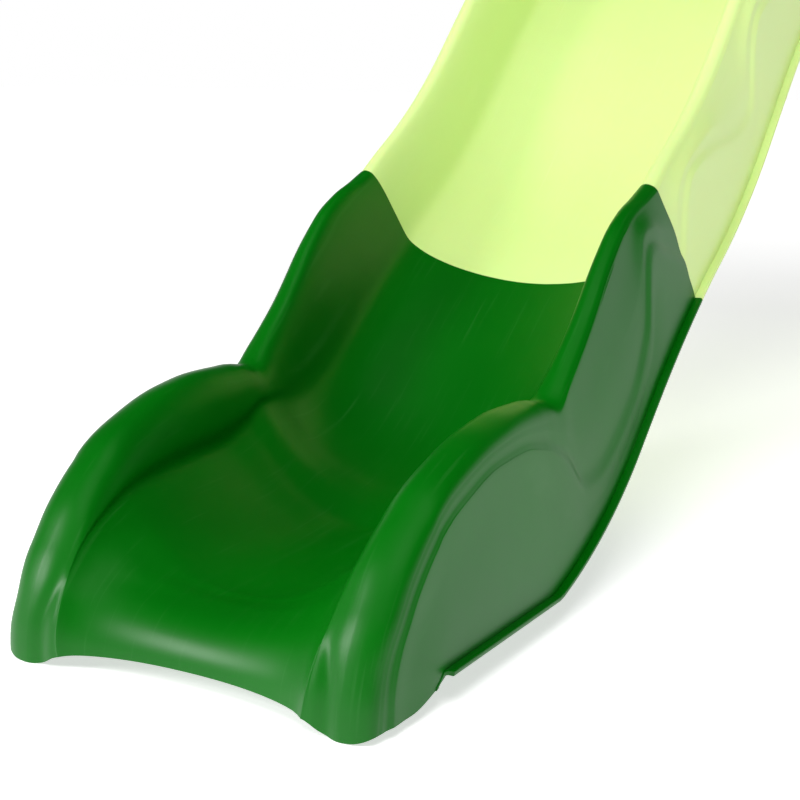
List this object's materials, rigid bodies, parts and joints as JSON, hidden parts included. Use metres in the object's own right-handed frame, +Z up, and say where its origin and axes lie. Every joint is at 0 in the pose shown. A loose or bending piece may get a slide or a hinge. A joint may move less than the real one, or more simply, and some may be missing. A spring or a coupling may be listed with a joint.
{
  "type": "straight slide",
  "caption": "Straight playground slide in two bolted open-bottomed plastic mouldings, with rounded wings at the exit and a drilled tongue that fixes it to a platform.",
  "frame": {"origin": "centre of the bounding box at the ground, under the exit's two noses' level", "axes": "X across the slide, -Y towards the exit, +Y up the slide to the platform, +Z up"},
  "size_m": [0.5246, 2.2836, 1.4015],
  "materials": {
    "dark_green_plastic": "satin moulded polyethylene, dark saturated green",
    "pale_lime_plastic": "satin moulded polyethylene, pale lime yellow",
    "zinc_steel": "zinc-plated steel"
  },
  "bodies": {
    "root": {"lower_chute": "dark_green_plastic", "upper_chute": "pale_lime_plastic", "joint_bolts": "zinc_steel", "joint_washers": "zinc_steel", "joint_nuts": "zinc_steel"}
  },
  "joints": []
}
